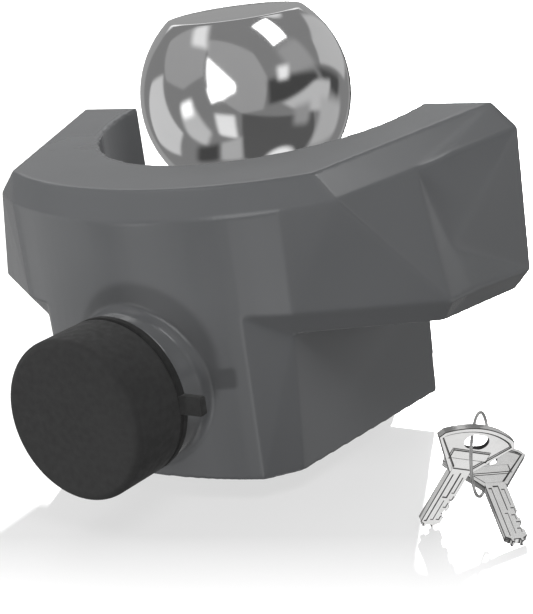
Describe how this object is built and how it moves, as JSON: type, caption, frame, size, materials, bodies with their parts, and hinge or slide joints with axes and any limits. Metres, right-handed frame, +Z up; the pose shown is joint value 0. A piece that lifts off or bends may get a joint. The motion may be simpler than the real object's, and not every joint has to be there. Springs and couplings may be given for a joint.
{
  "type": "trailer coupler lock",
  "caption": "Trailer coupler lock: a crescent collar on a block, a captive hitch ball on a plug and disc held by a keyed cross bolt, a capped lock cylinder, and keys on a ring.",
  "frame": {"origin": "centre of the base disc's flat underside, on the ball's vertical axis", "axes": "+Z up along the ball's axis, -Y to the front where the lock cylinder and its cap are, +X to the side of the cap's pull tab"},
  "size_m": [0.1839, 0.122, 0.117],
  "materials": {
    "powder_coat": "dark grey semi-gloss powder coat",
    "polished_chrome": "polished chrome plate",
    "plated_steel": "plain zinc-plated steel",
    "lock_brass": "machined brass",
    "black_rubber": "matt black rubber",
    "key_nickel": "nickel plate"
  },
  "bodies": {
    "ball_unit": {"hitch_ball": "polished_chrome", "base_plug": "polished_chrome", "base_disc": "polished_chrome", "ball_stud": "plated_steel", "plug_o_ring": "black_rubber"},
    "lock": {"lock_body": "powder_coat", "drill_plate": "plated_steel", "lock_shell": "lock_brass", "shell_o_ring": "black_rubber", "shell_set_screw": "plated_steel"},
    "plug": {"lock_plug": "lock_brass", "wafer_1": "lock_brass", "wafer_2": "lock_brass", "wafer_3": "lock_brass", "wafer_4": "lock_brass", "wafer_5": "lock_brass", "plug_circlip": "plated_steel", "bolt_cam": "plated_steel"},
    "bolt": {"locking_bolt": "plated_steel", "cam_pin": "plated_steel"},
    "cap": {"dust_cap": "black_rubber"},
    "ring": {"key_ring": "key_nickel"},
    "first_key": {"key_1": "key_nickel"},
    "second_key": {"key_2": "key_nickel"}
  },
  "joints": [
    {"name": "lock_lift", "type": "slide", "parent": "ball_unit", "child": "lock", "axis": [0, 0, 1], "range_m": [0, 0.115]},
    {"name": "plug_turn", "type": "hinge", "parent": "lock", "child": "plug", "pos_m": [0, -0.065, 0.0308], "axis": [0, 1, 0], "range_deg": [0, 90]},
    {"name": "bolt_slide", "type": "slide", "parent": "lock", "child": "bolt", "axis": [0, 1, 0], "range_m": [0, 0.0055]},
    {"name": "cap_pull", "type": "slide", "parent": "lock", "child": "cap", "axis": [0, -1, 0], "range_m": [0, 0.03]},
    {"name": "ring_lift", "type": "slide", "parent": "ball_unit", "child": "ring", "axis": [0, 0, 1], "range_m": [0, 0.05]},
    {"name": "key_1_swing", "type": "hinge", "parent": "ring", "child": "first_key", "pos_m": [0.09163, -0.05067, 0.01713], "axis": [-0.9599, -0.2787, 0.0309], "range_deg": [0, 60]},
    {"name": "key_2_swing", "type": "hinge", "parent": "ring", "child": "second_key", "pos_m": [0.09163, -0.05067, 0.01713], "axis": [-0.9599, -0.2787, 0.0309], "range_deg": [0, 25]}
  ],
  "couplings": [
    {"joint": "bolt_slide", "follows": "plug_turn", "m_per_rad": 0.0035}
  ]
}
